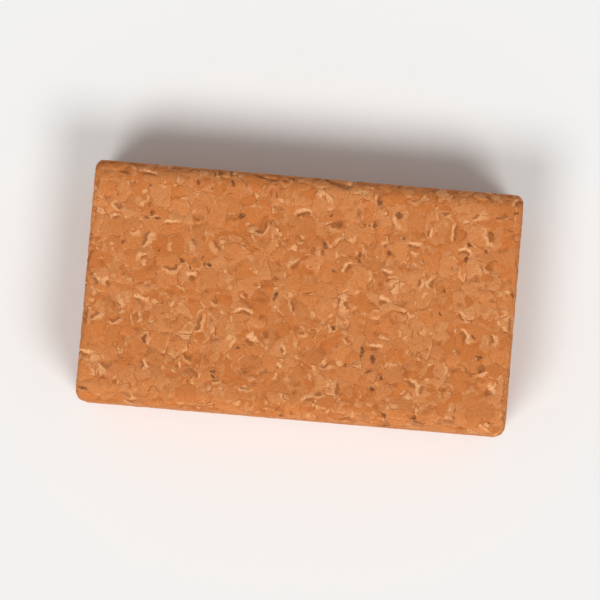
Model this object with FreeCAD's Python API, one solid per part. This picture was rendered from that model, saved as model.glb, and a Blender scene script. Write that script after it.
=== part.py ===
# Hand sanding block: one plain rectangular block of agglomerated cork.
# A strip is sawn from a pressed billet of cork granules, its four long arrises are rounded so that
# abrasive paper wraps round them without tearing, and it is cut to length. The arrises of the two
# cut ends are only lightly eased.
# Units are millimetres. +X runs along the length, +Y across the width and +Z up.
# The origin is the middle of the sole, the flat underside that the block stands on.
import FreeCAD, Part
import os

# Driving dimensions
LENGTH = 110.0               # along X, about the short side of a hand sheet of abrasive paper
WIDTH = 62.0                 # along Y, a comfortable span for the hand
HEIGHT = 32.0                # along Z
LONG_ARRIS_RADIUS = 4.5      # the four arrises along X, which the paper bends round
END_ARRIS_RADIUS = 2.0       # the outlines of the two ends

PARTS_FOLDER = "parts"


def runs_along_x(edge):
    """True for an edge from one end of the block to the other."""
    return abs(edge.BoundBox.XLength - LENGTH) < 0.001


def outlines_an_end(edge):
    """True for an edge that lies in the plane of either end."""
    box = edge.BoundBox
    return box.XLength < 0.001 and abs(abs(box.Center.x) - LENGTH / 2) < 0.001


def cork_block():
    """The block: a box that stands centred over the origin, with its arrises rounded."""
    low_corner = FreeCAD.Vector(-LENGTH / 2, -WIDTH / 2, 0)
    sawn = Part.makeBox(LENGTH, WIDTH, HEIGHT, low_corner)
    rounded = sawn.makeFillet(LONG_ARRIS_RADIUS, [e for e in sawn.Edges if runs_along_x(e)])
    return rounded.makeFillet(END_ARRIS_RADIUS, [e for e in rounded.Edges if outlines_an_end(e)])


NODES = {
    "cork_block": cork_block,
}


def main():
    """Writes one file for each node and prints its volume and size."""
    os.makedirs(PARTS_FOLDER, exist_ok=True)
    for node, make_solid in NODES.items():
        solid = make_solid()
        if not solid.isValid() or len(solid.Solids) != 1:
            raise ValueError(node + " is not one valid solid")
        solid.exportStep(PARTS_FOLDER + "/" + node + ".step")
        size = solid.optimalBoundingBox()
        print(node, "volume %.1f mm3," % solid.Volume,
              "size %.2f x %.2f x %.2f mm" % (size.XLength, size.YLength, size.ZLength))


main()
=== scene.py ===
"""A hand sanding block of agglomerated cork, on a plain pale floor.

The file is laid out as an add-on and run as a script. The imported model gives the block's place and
size, and the operators here give it its pressed cork granules, its eased arrises and its light.
"""
import math
from collections import namedtuple

import bpy
import numpy as np
from bpy.props import FloatProperty, FloatVectorProperty, PointerProperty
from mathutils import Euler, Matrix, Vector


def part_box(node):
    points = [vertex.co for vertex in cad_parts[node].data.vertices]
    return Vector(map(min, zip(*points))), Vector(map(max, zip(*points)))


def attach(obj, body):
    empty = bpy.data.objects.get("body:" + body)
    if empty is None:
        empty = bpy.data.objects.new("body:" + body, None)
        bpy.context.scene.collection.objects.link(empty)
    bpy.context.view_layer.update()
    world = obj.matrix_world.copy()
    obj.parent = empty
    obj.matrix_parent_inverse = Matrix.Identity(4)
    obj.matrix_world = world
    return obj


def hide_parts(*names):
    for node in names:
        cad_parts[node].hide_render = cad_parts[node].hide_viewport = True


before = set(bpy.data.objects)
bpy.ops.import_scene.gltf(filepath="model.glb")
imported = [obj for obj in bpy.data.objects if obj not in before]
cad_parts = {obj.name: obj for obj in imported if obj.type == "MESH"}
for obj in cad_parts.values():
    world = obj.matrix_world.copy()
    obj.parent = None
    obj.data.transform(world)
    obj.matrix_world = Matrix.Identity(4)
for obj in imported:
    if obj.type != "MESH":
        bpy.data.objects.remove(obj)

bl_info = {
    "name": "Cork sanding block",
    "version": (1, 0, 0),
    "blender": (4, 5, 0),
    "location": "3D Viewport > Sidebar > Sanding block",
    "description": "Makes a hand sanding block of pressed cork granules and the stage it stands on",
    "category": "Object",
}

BLOCK_NODE = "cork_block"
LOST_DEPTH = "lost_depth"
MM = 0.001

# The granules were stirred before they were pressed, so their borders wander. Each swirl shifts a
# place by a sine of a turned copy of it: wavelength and reach in millimetres, then the turn and
# the phase in radians.
SWIRLS = (
    (9.1, 0.60, (0.4, 1.1, 0.3), (0.0, 1.3, 4.1)),
    (3.7, 0.27, (1.9, 0.2, 2.4), (2.2, 0.4, 5.0)),
    (1.6, 0.10, (0.7, 2.8, 1.2), (3.9, 2.7, 0.6)),
    (0.7, 0.045, (2.2, 1.6, 0.1), (1.1, 5.2, 3.3)),
)
# Moves of the crumbs', the curls' and the gaps' cells off the granules', in millimetres
CRUMB_SHIFT = (13.7, 5.3, 29.1)
CURL_SHIFT = (3.1, 17.9, 8.3)
GAP_SHIFT = (21.3, 2.9, 11.7)


# ---------------------------------------------------------------------------- settings

class CorkBlockSettings(bpy.types.PropertyGroup):
    """Sizes and colours of the cork block."""
    mesh_step: FloatProperty(
        name="Mesh step", description="Distance between the surface's points",
        default=0.0005, min=0.0002, unit="LENGTH")
    granule_size: FloatProperty(
        name="Granule size", description="Usual width of a large cork granule",
        default=0.0041, min=0.001, unit="LENGTH")
    crumb_size: FloatProperty(
        name="Crumb size", description="Usual width of the small granules between the large ones",
        default=0.0015, min=0.0004, unit="LENGTH")
    clump_size: FloatProperty(
        name="Clump size", description="Usual width of a stretch that is mostly crumbs, or mostly not",
        default=0.0095, min=0.002, unit="LENGTH")
    pressed_flat: FloatProperty(
        name="Pressed flat", description="How much wider than high the press left the granules",
        default=1.35, min=1.0, max=3.0)
    crumb_share: FloatProperty(
        name="Crumb share", description="Share of the block that is crumbs and not large granules",
        default=0.25, min=0.0, max=1.0, subtype="FACTOR")
    pale_share: FloatProperty(
        name="Pale share", description="Share of the crumbs that are pale",
        default=0.08, min=0.0, max=1.0, subtype="FACTOR")
    bark_share: FloatProperty(
        name="Bark share", description="Share of the crumbs that are specks of dark bark",
        default=0.019, min=0.0, max=1.0, subtype="FACTOR")
    curl_spacing: FloatProperty(
        name="Curl spacing", description="Usual distance between the pale curved slivers",
        default=0.0068, min=0.002, unit="LENGTH")
    curl_share: FloatProperty(
        name="Curl share", description="Share of the places for such a sliver that hold one",
        default=0.94, min=0.0, max=1.0, subtype="FACTOR")
    seam_depth: FloatProperty(
        name="Seam depth", description="Depth of the shallow valleys between granules",
        default=0.00010, min=0.0, unit="LENGTH")
    gap_length: FloatProperty(
        name="Gap length", description="Usual length of the open gaps along some granules' borders",
        default=0.0030, min=0.001, unit="LENGTH")
    gap_depth: FloatProperty(
        name="Gap depth", description="Depth of those gaps",
        default=0.00045, min=0.0, unit="LENGTH")
    gap_share: FloatProperty(
        name="Gap share", description="Share of the borders that such gaps run along",
        default=0.26, min=0.0, max=1.0, subtype="FACTOR")
    pit_depth: FloatProperty(
        name="Pit depth", description="Depth of the pits that lost crumbs leave",
        default=0.0007, min=0.0, unit="LENGTH")
    pit_share: FloatProperty(
        name="Pit share", description="Share of the crumbs on a flat face that are lost",
        default=0.028, min=0.0, max=1.0, subtype="FACTOR")
    chip_depth: FloatProperty(
        name="Chip depth", description="Depth of the chips that lost granules leave on an arris",
        default=0.0008, min=0.0, unit="LENGTH")
    chip_share: FloatProperty(
        name="Chip share", description="Share of the granules on an arris that are lost",
        default=0.20, min=0.0, max=1.0, subtype="FACTOR")
    pale_colour: FloatVectorProperty(
        name="Pale cork", description="Freshly cut cork", subtype="COLOR", size=3,
        default=(0.96, 0.50, 0.230), min=0.0, max=1.0)
    body_colour: FloatVectorProperty(
        name="Body cork", description="The usual tone of the granules", subtype="COLOR", size=3,
        default=(0.625, 0.206, 0.0545), min=0.0, max=1.0)
    brown_colour: FloatVectorProperty(
        name="Brown cork", description="The darker granules", subtype="COLOR", size=3,
        default=(0.40, 0.120, 0.030), min=0.0, max=1.0)
    bark_colour: FloatVectorProperty(
        name="Bark", description="Specks of outer bark", subtype="COLOR", size=3,
        default=(0.13, 0.040, 0.014), min=0.0, max=1.0)


class StageSettings(bpy.types.PropertyGroup):
    """The floor, the light and the camera."""
    floor_colour: FloatVectorProperty(
        name="Floor", description="Colour of the plain floor", subtype="COLOR", size=3,
        default=(0.90, 0.90, 0.89), min=0.0, max=1.0)
    fill_strength: FloatProperty(
        name="Fill light", description="Strength of the even light from all round",
        default=0.33, min=0.0)
    lamp_strength: FloatProperty(
        name="Lamp strength", description="Strength of each of the two broad soft lamps",
        default=1.265, min=0.0)
    lamp_turn: FloatProperty(
        name="Lamp turn", description="How far each lamp stands to the side of the camera",
        default=math.radians(35), subtype="ANGLE")
    lamp_height: FloatProperty(
        name="Lamp height", description="The lamps' angle above the floor",
        default=math.radians(55), subtype="ANGLE")
    lamp_spread: FloatProperty(
        name="Lamp spread", description="How wide a lamp looks from the block: wider is softer",
        default=math.radians(22), subtype="ANGLE")
    camera_turn: FloatProperty(
        name="Camera turn", description="How far the camera stands round from the front",
        default=math.radians(4.9), subtype="ANGLE")
    camera_height: FloatProperty(
        name="Camera height", description="The camera's angle above the floor",
        default=math.radians(87.0), subtype="ANGLE")
    camera_distance: FloatProperty(
        name="Camera distance", description="From the camera to the middle of the block",
        default=0.9, min=0.2, unit="LENGTH")
    block_share: FloatProperty(
        name="Block share", description="Share of the picture's width that the block fills",
        default=0.72, min=0.1, max=1.0, subtype="FACTOR")


# ---------------------------------------------------------------------------- cork in numbers

def rolled(word, places):
    """A 32-bit word with its bits rolled to the left by some places."""
    return (word << np.uint32(places)) | (word >> np.uint32(32 - places))


def scrambled(words):
    """The last word of three, after seven rounds that each mix one word into another by an
    exclusive or and take away the rolled other."""
    rounds = ((2, 1, 14), (0, 2, 11), (1, 0, 25), (2, 1, 16), (0, 2, 4), (1, 0, 14), (2, 1, 24))
    for to, by, places in rounds:
        words[to] = (words[to] ^ words[by]) - rolled(words[by], places)
    return words[2]


def cell_values(cells):
    """Three values from 0 to 1 for each cell of a lattice, the same three that the shader's cell
    texture gives it: a scramble of the bits of the cell's x, y and z, and for the second and
    third value of a fourth number too, 1 and 2."""
    bits = np.moveaxis(cells.astype(np.float32) + np.float32(0), -1, 0).copy().view(np.uint32)
    start = np.uint32(0xDEADBEEF + 13 + (3 << 2))
    values = [scrambled([start + word for word in bits])]
    for fourth in (1.0, 2.0):
        words = [start + np.uint32(4) + word for word in bits]
        turns = ((0, 2, 1), (1, 0, 2), (2, 1, 0)) * 2
        for (to, by, on), places in zip(turns, (4, 6, 8, 16, 19, 4)):
            words[to] = (words[to] - words[by]) ^ rolled(words[by], places)
            words[by] = words[by] + words[on]
        words[0] = words[0] + np.float32(fourth).view(np.uint32)
        values.append(scrambled(words))
    return np.stack(values, -1) / 0xFFFFFFFF


def cell_noise(points):
    """For each point, the values of the cell it is in and its distance to that cell's border.
    Each unit cube holds one seed, a point belongs to the nearest seed, and a border is the plane
    half way between two seeds."""
    cubes = np.floor(points)
    low = cubes.min(0) - 1
    sides = (cubes.max(0) - low + 2).astype(int)
    axes = [np.arange(count) + first for count, first in zip(sides, low)]
    seeds = cell_values(np.stack(np.meshgrid(*axes, indexing="ij"), -1))
    steps = np.stack(np.meshgrid(*[(-1, 0, 1)] * 3, indexing="ij"), -1).reshape(-1, 3)
    near = (cubes - low).astype(int)[:, None] + steps
    values = seeds[near[..., 0], near[..., 1], near[..., 2]]
    to_seed = steps + values - (points - cubes)[:, None]
    own = (to_seed ** 2).sum(-1).argmin(1)
    each = np.arange(len(points))
    to_own = to_seed[each, own][:, None]
    across = to_seed - to_own
    apart = np.sqrt((across ** 2).sum(-1))
    other = apart > 0.01
    to_plane = ((to_own + to_seed) / 2 * across).sum(-1) / np.where(other, apart, 1)
    return values[each, own], np.where(other, to_plane, np.inf).min(1)


def stirred(places, cork):
    """Where each place, in millimetres, came from before stirring and pressing: the place plus
    each swirl's sines, with its height stretched by how flat the granules are."""
    moved = places.copy()
    for wavelength, reach, turn, phase in SWIRLS:
        turned = np.array(Euler(turn).to_matrix())
        moved += reach * np.sin(places * (math.tau / wavelength) @ turned.T + np.array(phase))
    return moved * (1, 1, cork.pressed_flat)


def eased(value, start, end):
    """0 below start, 1 above end, and a smooth S between them."""
    share = np.clip((value - start) / (end - start), 0, 1)
    return share * share * (3 - 2 * share)


def relief(places, normals, cork):
    """How far each point of the surface lies under the smooth block, in metres, and the part of
    it that is gaps, pits and chips. Granules stand at slightly different heights with a shallow
    valley on each border, and an open gap along some stretches of it. Some crumbs are missing and
    leave pits, and on the arrises some whole granules are missing and leave chips. A point is on
    an arris as far as its normal points along none of the axes."""
    largest_step = 0.08 * MM
    flat_face, full_arris = 0.995, 0.90        # the largest part of a normal along one axis
    # How far each slope runs in from its cell's border, in cells' widths
    valley_reach, rim_reach, chip_reach, end_reach = 0.16, 0.22, 0.20, 0.25
    gap_start, gap_reach = 0.1, 0.6            # from the border, in millimetres
    more_lost_on_arris = 0.03
    moved = stirred(places / MM, cork)
    granule, border = cell_noise(moved / (cork.granule_size / MM))
    crumb, crumb_border = cell_noise((moved + CRUMB_SHIFT) / (cork.crumb_size / MM))
    clump = cell_noise(moved / (cork.clump_size / MM))[0]
    gap_cell, gap_end = cell_noise((moved + GAP_SHIFT) / (cork.gap_length / MM))

    on_arris = 1 - eased(np.abs(normals).max(1), full_arris, flat_face)
    crumbly = granule[:, 1] < 2 * cork.crumb_share * clump[:, 0]
    height = np.where(crumbly, crumb[:, 0], granule[:, 0])
    level = largest_step * (1 - height) * (1 + 1.5 * on_arris)
    valley = (1 - eased(border, 0.0, valley_reach)) * cork.seam_depth * (1 + on_arris)

    lost_crumb = crumb[:, 2] > 1 - cork.pit_share - more_lost_on_arris * on_arris
    pit = lost_crumb * eased(crumb_border, 0.0, rim_reach) * cork.pit_depth
    pit *= 0.5 + 0.5 * crumb[:, 1]
    beside = 1 - eased(border * (cork.granule_size / MM), gap_start, gap_reach)
    open_here = gap_cell[:, 0] > 1 - cork.gap_share
    gap = open_here * eased(gap_end, 0.0, end_reach) * beside * cork.gap_depth
    lost_granule = (granule[:, 2] > 1 - cork.chip_share) * on_arris
    chip = lost_granule * eased(border, 0.0, chip_reach) * cork.chip_depth
    chip *= 0.3 + 0.7 * granule[:, 0]
    lost = np.maximum(gap, np.maximum(pit, chip))
    return level + valley + lost, lost


def rounded_block(low, high, long_radius, end_radius, step):
    """Points, outward normals and quads of a closed box with its long arrises, along X, rounded to
    one radius and the outlines of its ends to a smaller one. Each side of the sharp box is a grid
    in two parameters. A grid point belongs to a point of the core, the block less the end radius
    all round: straight in from it in X, and in Y and Z along the line from the middle strip, which
    the long radius leaves. It lies one end radius out from there, towards the sharp box's point."""
    counts = np.maximum(np.round((high - low) / step), 2).astype(int)
    keys, quads = [], []
    for axis in range(3):
        across, along = (axis + 1) % 3, (axis + 2) % 3
        u, v = np.meshgrid(np.arange(counts[across] + 1), np.arange(counts[along] + 1), indexing="ij")
        for end in (0, counts[axis]):
            cube = np.empty(u.shape + (3,), int)
            cube[..., axis], cube[..., across], cube[..., along] = end, u, v
            index = np.arange(u.size).reshape(u.shape) + sum(len(side) for side in keys)
            corners = [index[:-1, :-1], index[1:, :-1], index[1:, 1:], index[:-1, 1:]]
            quads.append(np.stack(corners if end else corners[::-1], -1).reshape(-1, 4))
            keys.append(cube.reshape(-1, 3))
    lattice, welded = np.unique(np.concatenate(keys), axis=0, return_inverse=True)
    sharp = low + lattice * (high - low) / counts
    core = np.clip(sharp, low + (end_radius, long_radius, long_radius),
                   high - (end_radius, long_radius, long_radius))
    beyond = sharp - core
    reach = np.abs(beyond[:, 1:]).max(1, keepdims=True)
    sideways = beyond[:, 1:] / np.maximum(np.linalg.norm(beyond[:, 1:], axis=1, keepdims=True), 1e-9)
    core_reach = np.minimum(reach, long_radius - end_radius)
    core[:, 1:] += sideways * core_reach
    normals = np.column_stack([beyond[:, :1], sideways * (reach - core_reach)])
    normals /= np.linalg.norm(normals, axis=1, keepdims=True)
    return core + end_radius * normals, normals, welded.reshape(-1)[np.concatenate(quads)]


def arris_radii(node):
    """The rounding of a CAD block's ends and of its long arrises: how far its flat top stops short
    of its whole extent in X and in Y."""
    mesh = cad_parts[node].data
    places = np.empty(len(mesh.vertices) * 3, np.float32)
    mesh.vertices.foreach_get("co", places)
    places = places.reshape(-1, 3)
    flat_top = places[:, 2] > places[:, 2].max() - 0.01 * MM
    return [float(places[:, axis].max() - places[flat_top, axis].max()) for axis in (0, 1)]


def mesh_object(name, points, quads):
    """A smooth-shaded mesh object at the origin, from arrays of points and of quads."""
    mesh = bpy.data.meshes.new(name)
    mesh.from_pydata(points.tolist(), [], quads.tolist())
    mesh.polygons.foreach_set("use_smooth", np.ones(len(quads), bool))
    mesh.update()
    made = bpy.data.objects.new(name, mesh)
    bpy.context.scene.collection.objects.link(made)
    return made


# ---------------------------------------------------------------------------- materials

Cells = namedtuple("Cells", "values border vector from_seed")


class Nodes:
    """Adds nodes to a material. An input is given as a value or as the socket that feeds it."""

    def __init__(self, name):
        self.material = bpy.data.materials.new(name)
        self.material.use_nodes = True
        self.tree = self.material.node_tree
        self.shader = self.tree.nodes["Principled BSDF"]

    def feed(self, socket, source):
        """Links a socket to source, or sets it to source."""
        if isinstance(source, bpy.types.NodeSocket):
            self.tree.links.new(source, socket)
        else:
            socket.default_value = source

    def add(self, kind, inputs=(), **options):
        """A node of a kind, with some inputs by name or number and some of its options set."""
        node = self.tree.nodes.new("ShaderNode" + kind)
        for option, value in options.items():
            setattr(node, option, value)
        for key, source in dict(inputs).items():
            self.feed(node.inputs[key], source)
        return node

    def maths(self, operation, *values, clamp=False):
        node = self.add("Math", enumerate(values), operation=operation, use_clamp=clamp)
        return node.outputs[0]

    def product(self, first, *others):
        """The values multiplied together."""
        for other in others:
            first = self.maths("MULTIPLY", first, other)
        return first

    def spread(self, value, width, middle=0.0):
        """A value from 0 to 1 as one of a range of some width about a middle."""
        return self.maths("MULTIPLY_ADD", value, width, middle - width / 2)

    def vector(self, operation, *values):
        node = self.add("VectorMath", operation=operation)
        for index, value in enumerate(values):
            self.feed(node.inputs["Scale" if operation == "SCALE" and index else index], value)
        return node.outputs["Value" if operation in ("DOT_PRODUCT", "LENGTH") else "Vector"]

    def eased(self, value, start, end, low=0.0, high=1.0):
        """Low where value is start, high where it is end, and a smooth S between them."""
        inputs = {"Value": value, "From Min": start, "From Max": end, "To Min": low, "To Max": high}
        return self.add("MapRange", inputs, interpolation_type="SMOOTHSTEP").outputs[0]

    def noise(self, place, size, detail=2.0, roughness=0.5):
        """Soft noise from 0 to 1 with features of a size in millimetres."""
        inputs = {"Vector": place, "Scale": 1 / size, "Detail": detail, "Roughness": roughness}
        return self.add("TexNoise", inputs).outputs["Fac"]

    def cells(self, place):
        """The three values of the cell that a place is in, its distance to the cell's border, the
        values as a vector, and the way to the place from the cell's seed."""
        seed = self.add("TexVoronoi", {"Vector": place, "Scale": 1.0})
        border = self.add("TexVoronoi", {"Vector": place, "Scale": 1.0}, feature="DISTANCE_TO_EDGE")
        values = self.add("SeparateColor", {"Color": seed.outputs["Color"]})
        from_seed = self.vector("SUBTRACT", place, seed.outputs["Position"])
        return Cells(values.outputs, border.outputs["Distance"], seed.outputs["Color"], from_seed)

    def choice(self, mask, outside, inside):
        """One number where a mask is 0, and another where it is 1."""
        return self.add("Mix", {0: mask, 2: outside, 3: inside}).outputs[0]

    def mix(self, share, first, second):
        """Two colours mixed by share."""
        node = self.add("Mix", data_type="RGBA")
        for key, source in (("Factor_Float", share), ("A_Color", first), ("B_Color", second)):
            socket = next(s for s in node.inputs if s.identifier == key)
            self.feed(socket, (*source, 1) if isinstance(source, tuple) else source)
        return next(s for s in node.outputs if s.identifier == "Result_Color")

    def ramp(self, value, stops):
        """A colour for value, from stops of a position and a colour."""
        node = self.add("ValToRGB", {"Fac": value})
        elements = node.color_ramp.elements
        while len(elements) < len(stops):
            elements.new(0.5)
        for element, (position, colour) in zip(elements, stops):
            element.position = position
            element.color = (*colour, 1)
        return node.outputs["Color"]


def between(first, second, share):
    """A colour some share of the way from the first to the second."""
    return tuple(a + (b - a) * share for a, b in zip(first, second))


class CorkPattern:
    """The patterns of pressed cork, as sockets of one material. Lengths are in millimetres. A mask
    is 1 where a thing is and 0 where it isn't."""

    def __init__(self, nodes, cork):
        self.nodes, self.cork = nodes, cork
        self.place = nodes.vector("SCALE", nodes.add("TexCoord").outputs["Object"], 1 / MM)
        self.moved = self.stirred()
        self.granule = self.lattice(cork.granule_size)
        self.border = nodes.maths("MULTIPLY", self.granule.border, cork.granule_size / MM)
        self.crumb = self.lattice(cork.crumb_size, CRUMB_SHIFT)
        self.crumbly = self.crumb_mask()

        # Each granule's growth lines run their own way
        self.axis = nodes.vector("SUBTRACT", self.granule.vector, (0.5, 0.5, 0.5))
        turn = {"Vector": self.place, "Axis": self.axis,
                "Angle": nodes.maths("MULTIPLY", self.granule.values[2], math.tau)}
        turned = nodes.add("VectorRotate", turn).outputs[0]
        self.growth = nodes.noise(nodes.vector("MULTIPLY", turned, (0.35, 0.35, 2.2)), 1.0, 3.0, 0.6)
        self.lines = nodes.noise(nodes.vector("MULTIPLY", turned, (0.9, 0.9, 5.5)), 1.0, 2.0)

        # Noises that break up the other patterns
        self.fine = nodes.noise(self.place, 0.45, 3.0, 0.65)
        self.wander = nodes.noise(self.place, 0.9, 2.0)
        self.shown = nodes.noise(self.place, 3.6, 2.0)

    def stirred(self):
        """The place stirred and pressed, as stirred() does it in numbers."""
        moved = self.place
        for wavelength, reach, turn, phase in SWIRLS:
            inputs = {"Vector": self.place, "Location": phase, "Rotation": turn,
                      "Scale": (math.tau / wavelength,) * 3}
            turned = self.nodes.add("Mapping", inputs, vector_type="POINT").outputs[0]
            wave = self.nodes.vector("SINE", turned)
            moved = self.nodes.vector("ADD", moved, self.nodes.vector("SCALE", wave, reach))
        return self.nodes.vector("MULTIPLY", moved, (1, 1, self.cork.pressed_flat))

    def lattice(self, size, shift=(0, 0, 0)):
        """Cells of a size in metres, shifted by some millimetres."""
        shifted = self.nodes.vector("ADD", self.moved, shift)
        return self.nodes.cells(self.nodes.vector("SCALE", shifted, 1 / (size / MM)))

    def crumb_mask(self):
        """Where crumbs fill a granule's place or a wide seam."""
        nodes = self.nodes
        clump = self.lattice(self.cork.clump_size)
        share = nodes.maths("MULTIPLY", clump.values[0], 2 * self.cork.crumb_share)
        in_place = nodes.maths("LESS_THAN", self.granule.values[1], share)
        seam_width = nodes.maths("MULTIPLY_ADD", nodes.noise(self.place, 2.5, 1.0), 0.9, -0.28)
        in_seam = nodes.maths("LESS_THAN", self.border, seam_width)
        return nodes.maths("MAXIMUM", in_seam, in_place)

    def tone(self):
        """How pale the cork is: each granule's or crumb's own tone, plus a share of each noise."""
        nodes = self.nodes
        granule_tone = nodes.spread(self.granule.values[0], 0.18)
        crumb_tone = nodes.spread(self.crumb.values[0], 0.20)
        tone = nodes.choice(self.crumbly, granule_tone, crumb_tone)
        mottled = nodes.noise(self.place, 13.0, 2.0)
        shares = ((mottled, 0.16), (self.growth, 0.22), (self.lines, 0.26), (self.fine, 0.36))
        for noise, share in shares:
            tone = nodes.maths("MULTIPLY_ADD", noise, share, tone)
        return tone

    def coloured(self, tone, pale, body, brown):
        """The colour of a tone, with a little difference of hue from granule to granule."""
        nodes = self.nodes
        stops = ((0.26, between(brown, body, 0.2)), (0.40, between(brown, body, 0.72)), (0.50, body),
                 (0.62, between(body, pale, 0.20)), (0.80, between(body, pale, 0.60)))
        own = nodes.choice(self.crumbly, self.granule.values[2], self.crumb.values[0])
        tint = {"Color": nodes.ramp(tone, stops),
                "Hue": nodes.spread(own, 0.005, 0.5),
                "Saturation": nodes.spread(own, -0.05, 1.0)}
        return nodes.add("HueSaturation", tint).outputs[0]

    def pale_crumbs_and_highlight_rims(self):
        """Mask of the painted highlight rims on one side of some granules, edges painted as catching
        the light, and of the pale crumbs, which are the cork's own colour.
        """
        nodes = self.nodes
        inwards = nodes.maths("MULTIPLY_ADD", self.wander, -0.5, nodes.maths("ADD", self.border, 0.25))
        side = nodes.vector("DOT_PRODUCT", self.granule.from_seed, self.axis)
        rims = nodes.product(
            nodes.eased(inwards, 0.08, 0.24), nodes.eased(inwards, 0.45, 1.05, 1.0, 0.0),
            nodes.eased(side, 0.02, 0.09), nodes.eased(self.shown, 0.51, 0.61))
        pale = nodes.maths("GREATER_THAN", self.crumb.values[2], 1 - self.cork.pale_share)
        crumbs = nodes.product(pale, nodes.eased(self.crumb.border, 0.05, 0.16), self.crumbly)
        return nodes.maths("MAXIMUM", rims, crumbs)

    def curls(self):
        """Masks of the pale curls, and of the painted shade on their hollow side, as if each curl
        stood proud. A curl is half a cap of a thin round shell, whose middle lies off its cell's seed."""
        nodes, cork = self.nodes, self.cork
        shell_radius, shell_offset, shade_offset = 0.45, 0.35, 0.90
        curl = self.lattice(cork.curl_spacing, CURL_SHIFT)
        way = nodes.vector("NORMALIZE", nodes.vector("SUBTRACT", curl.vector, (0.5, 0.5, 0.5)))
        from_middle = nodes.vector("ADD", curl.from_seed, nodes.vector("SCALE", way, shell_offset))
        past_shell = nodes.maths("SUBTRACT", nodes.vector("LENGTH", from_middle), shell_radius)
        past_shell = nodes.maths("MULTIPLY", past_shell, cork.curl_spacing / MM)
        past_shell = nodes.maths("SUBTRACT", past_shell, 0.25)
        past_shell = nodes.maths("MULTIPLY_ADD", self.wander, 0.5, past_shell)

        outwards = nodes.vector("NORMALIZE", from_middle)
        across = nodes.vector("NORMALIZE", nodes.vector("CROSS_PRODUCT", way, (0.36, 0.48, 0.80)))
        cap = nodes.product(
            nodes.eased(nodes.vector("DOT_PRODUCT", outwards, way), 0.42, 0.70),
            nodes.maths("GREATER_THAN", curl.values[0], 1 - cork.curl_share),
            nodes.eased(nodes.vector("DOT_PRODUCT", outwards, across), -0.25, 0.05))

        skin = nodes.eased(nodes.maths("ABSOLUTE", past_shell), 0.22, 0.64, 1.0, 0.0)
        broken = nodes.eased(self.fine, 0.34, 0.58, 0.40, 1.0)
        strength = nodes.maths("MULTIPLY_ADD", curl.values[1], 0.68, 0.47)
        # Painted shade: a dark band beside each curl on its hollow side
        shade = nodes.maths("ABSOLUTE", nodes.maths("ADD", past_shell, shade_offset))
        shade = nodes.product(nodes.eased(shade, 0.17, 0.65, 1.0, 0.0), cap)
        return nodes.product(skin, cap, broken, strength), shade

    def bark_specks(self):
        """Mask of the crumbs that are bark, ragged and a little uneven."""
        nodes = self.nodes
        ragged = nodes.maths("MULTIPLY_ADD", self.fine, 0.5, self.crumb.border)
        uneven = nodes.maths("ADD", self.fine, self.growth)
        return nodes.product(
            nodes.maths("GREATER_THAN", self.crumb.values[1], 1 - self.cork.bark_share),
            nodes.eased(ragged, 0.25, 0.40), nodes.eased(uneven, 0.75, 1.15, 0.95, 0.55))

    def seams(self):
        """Mask of the dark seams: here and there between granules, and faintly between crumbs."""
        nodes = self.nodes
        inwards = nodes.maths("SUBTRACT", self.border, 0.22)
        inwards = nodes.maths("MULTIPLY_ADD", self.wander, 0.5, inwards)
        inwards = nodes.maths("MULTIPLY_ADD", self.fine, 0.12, inwards)
        seam = nodes.product(
            nodes.eased(inwards, 0.06, 0.24, 1.0, 0.0), nodes.eased(self.shown, 0.48, 0.66))
        crumb_inwards = nodes.maths("MULTIPLY", self.crumb.border, self.cork.crumb_size / MM)
        crumb_seam = nodes.product(
            nodes.eased(crumb_inwards, 0.02, 0.13, 1.0, 0.0), self.crumbly, 0.28)
        return nodes.maths("MAXIMUM", seam, crumb_seam)

    def pores(self):
        """Mask of the small round pores."""
        pore = self.nodes.add("TexVoronoi", {"Vector": self.place, "Scale": 1 / 0.55})
        return self.nodes.eased(pore.outputs["Distance"], 0.10, 0.26, 1.0, 0.0)


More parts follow.
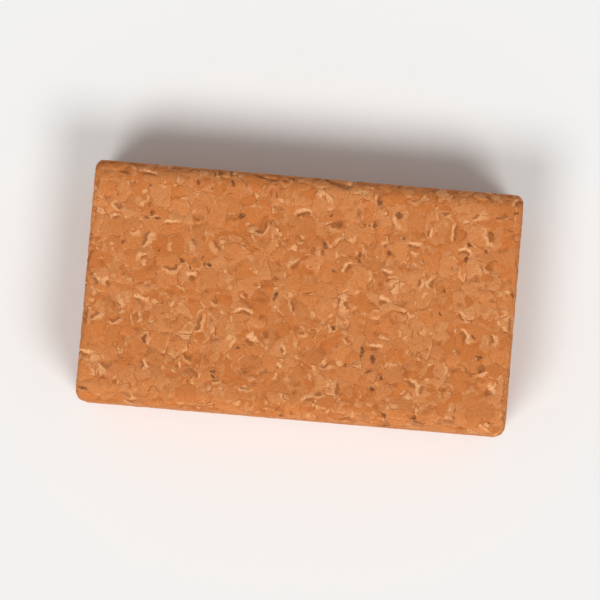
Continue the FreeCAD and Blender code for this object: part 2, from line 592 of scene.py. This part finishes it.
def cork_material(cork):
    """Pressed cork: large granules and stretches of crumbs, each of its own tone and with its own
    growth lines, then painted highlight rims, pale curls with painted shade on their hollow side,
    specks of bark, pinholes and dark seams over them, and painted shade and dust in the gaps, pits and
    chips."""
    highlight_rim_and_crumb_cover, curl_cover, pinhole_cover, dark_cover, hollow_shade_and_dust_cover = 0.50, 0.90, 0.45, 0.55, 0.50
    nodes = Nodes("pressed_cork")
    pale, body = tuple(cork.pale_colour), tuple(cork.body_colour)
    brown, bark = tuple(cork.brown_colour), tuple(cork.bark_colour)
    pattern = CorkPattern(nodes, cork)

    tone = pattern.tone()
    colour = pattern.coloured(tone, pale, body, brown)
    curl, curl_painted_shade = pattern.curls()
    # Painted highlight on the granules' rims, together with the cork's own pale crumbs
    rims = nodes.product(pattern.pale_crumbs_and_highlight_rims(), highlight_rim_and_crumb_cover)
    pale_mask = nodes.maths("MAXIMUM", rims, nodes.product(curl, curl_cover))
    colour = nodes.mix(pale_mask, colour, pale)
    colour = nodes.mix(pattern.bark_specks(), colour, bark)
    pinhole = nodes.eased(nodes.noise(pattern.place, 0.36, 1.0), 0.62, 0.74)
    colour = nodes.mix(nodes.product(pinhole, pinhole_cover), colour, brown)
    # The seams are the cork's own dark joints; the band beside the curls is painted shade
    dark = nodes.maths("MAXIMUM", pattern.seams(), curl_painted_shade)
    colour = nodes.mix(nodes.product(dark, dark_cover), colour, between(bark, brown, 0.4))
    # Painted shade and dust in the gaps, pits and chips: darker the deeper they are
    lost_mm = nodes.add("Attribute", attribute_name=LOST_DEPTH).outputs["Fac"]
    hollow = nodes.eased(lost_mm, 0.1, 0.7)
    colour = nodes.mix(nodes.product(hollow, hollow_shade_and_dust_cover), colour, between(bark, brown, 0.5))

    # Relief too fine for the mesh, in millimetres for each unit of a pattern
    height = nodes.product(pattern.growth, 0.05)
    finer = ((pattern.fine, 0.07), (dark, -0.10), (pattern.pores(), -0.05), (tone, 0.05))
    for source, millimetres in finer:
        height = nodes.maths("MULTIPLY_ADD", source, millimetres, height)
    bump = nodes.add("Bump", {"Height": height, "Strength": 1.0, "Distance": MM})

    shader = nodes.shader.inputs
    nodes.feed(shader["Base Color"], colour)
    nodes.feed(shader["Roughness"], nodes.maths("MULTIPLY_ADD", pattern.fine, 0.25, 0.66, clamp=True))
    nodes.feed(shader["Normal"], bump.outputs[0])
    shader["Specular IOR Level"].default_value = 0.2
    return nodes.material


def plain_material(name, colour, roughness):
    """One even colour, for the stage."""
    nodes = Nodes(name)
    nodes.shader.inputs["Base Color"].default_value = (*colour, 1)
    nodes.shader.inputs["Roughness"].default_value = roughness
    nodes.shader.inputs["Specular IOR Level"].default_value = 0.1
    return nodes.material


# ---------------------------------------------------------------------------- operators

class SANDING_OT_cork_block(bpy.types.Operator):
    """Make the block of pressed cork in place of its plain CAD solid"""
    bl_idname = "sanding.cork_block"
    bl_label = "Cork block"

    def execute(self, context):
        cork = context.scene.cork_block
        low, high = (np.array(corner, float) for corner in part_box(BLOCK_NODE))
        end_radius, long_radius = arris_radii(BLOCK_NODE)
        points, normals, quads = rounded_block(low, high, long_radius, end_radius, cork.mesh_step)
        depth, lost = relief(points, normals, cork)
        block = mesh_object("cork_body", points - normals * depth[:, None], quads)
        kept = block.data.attributes.new(LOST_DEPTH, "FLOAT", "POINT")
        kept.data.foreach_set("value", (lost / MM).astype(np.float32))
        block.data.materials.append(cork_material(cork))
        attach(block, "root")
        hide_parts(BLOCK_NODE)
        return {"FINISHED"}


class SANDING_OT_stage(bpy.types.Operator):
    """Lay the floor and set up the light and the camera"""
    bl_idname = "sanding.stage"
    bl_label = "Stage"

    def execute(self, context):
        stage = context.scene.sanding_stage
        low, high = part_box(BLOCK_NODE)
        middle = (low + high) / 2
        self.floor(stage, low.z)
        self.world(context, stage)
        for side in (-1, 1):
            self.lamp(stage, middle, side)
        self.camera(context, stage, low, high)
        context.scene.view_settings.view_transform = "Standard"
        return {"FINISHED"}

    def floor(self, stage, level):
        """A wide square at the level that the block stands on."""
        reach = 6.0
        corners = np.array([(-reach, -reach, level), (reach, -reach, level),
                            (reach, reach, level), (-reach, reach, level)])
        floor = mesh_object("floor", corners, np.array([(0, 1, 2, 3)]))
        floor.data.materials.append(plain_material("floor", tuple(stage.floor_colour), 0.9))

    def world(self, context, stage):
        """Even light from all round, which the camera sees as pale as the floor."""
        world = bpy.data.worlds.new("studio")
        world.use_nodes = True
        tree = world.node_tree
        light = tree.nodes["Background"]
        light.inputs["Strength"].default_value = stage.fill_strength
        shown = tree.nodes.new("ShaderNodeBackground")
        shown.inputs["Color"].default_value = (*stage.floor_colour, 1)
        light.inputs["Color"].default_value = (1, 1, 1, 1)
        path = tree.nodes.new("ShaderNodeLightPath")
        choice = tree.nodes.new("ShaderNodeMixShader")
        tree.links.new(path.outputs["Is Camera Ray"], choice.inputs[0])
        tree.links.new(light.outputs[0], choice.inputs[1])
        tree.links.new(shown.outputs[0], choice.inputs[2])
        tree.links.new(choice.outputs[0], tree.nodes["World Output"].inputs["Surface"])
        context.scene.world = world

    def lamp(self, stage, middle, side):
        """A broad, far lamp in front and to one side, which lights the whole floor evenly."""
        light = bpy.data.lights.new("lamp_right" if side > 0 else "lamp_left", "SUN")
        light.energy = stage.lamp_strength
        light.angle = stage.lamp_spread
        lamp = bpy.data.objects.new(light.name, light)
        away = outward(stage.camera_turn + side * stage.lamp_turn, stage.lamp_height)
        lamp.location = middle + away
        lamp.rotation_euler = away.to_track_quat("Z", "Y").to_euler()
        bpy.context.scene.collection.objects.link(lamp)

    def camera(self, context, stage, low, high):
        """A long lens, nearly straight above, that frames the block's top."""
        data = bpy.data.cameras.new("camera")
        to_top = stage.camera_distance - (high.z - low.z) / 2
        seen = (high.x - low.x) / stage.block_share
        data.lens = data.sensor_width * to_top / seen
        camera = bpy.data.objects.new("camera", data)
        away = outward(stage.camera_turn, stage.camera_height)
        camera.location = (low + high) / 2 + away * stage.camera_distance
        camera.rotation_euler = away.to_track_quat("Z", "Y").to_euler()
        context.scene.collection.objects.link(camera)
        context.scene.camera = camera


def outward(turn, height):
    """The direction from the block towards something turned round from the front, at a height."""
    level = math.cos(height)
    return Vector((math.sin(turn) * level, -math.cos(turn) * level, math.sin(height)))


class SANDING_PT_panel(bpy.types.Panel):
    """The block's and the stage's settings, and a button to make each"""
    bl_idname = "SANDING_PT_panel"
    bl_label = "Sanding block"
    bl_space_type = "VIEW_3D"
    bl_region_type = "UI"
    bl_category = "Sanding block"

    def draw(self, context):
        groups = ((SANDING_OT_cork_block, context.scene.cork_block),
                  (SANDING_OT_stage, context.scene.sanding_stage))
        for operator, settings in groups:
            box = self.layout.box()
            for name in type(settings).__annotations__:
                box.prop(settings, name)
            box.operator(operator.bl_idname)


CLASSES = (CorkBlockSettings, StageSettings, SANDING_OT_cork_block, SANDING_OT_stage,
           SANDING_PT_panel)


def register():
    for cls in CLASSES:
        bpy.utils.register_class(cls)
    bpy.types.Scene.cork_block = PointerProperty(type=CorkBlockSettings)
    bpy.types.Scene.sanding_stage = PointerProperty(type=StageSettings)


def unregister():
    del bpy.types.Scene.sanding_stage
    del bpy.types.Scene.cork_block
    for cls in reversed(CLASSES):
        bpy.utils.unregister_class(cls)


def main():
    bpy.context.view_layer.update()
    register()
    bpy.ops.sanding.cork_block()
    bpy.ops.sanding.stage()


if __name__ == "__main__":
    main()
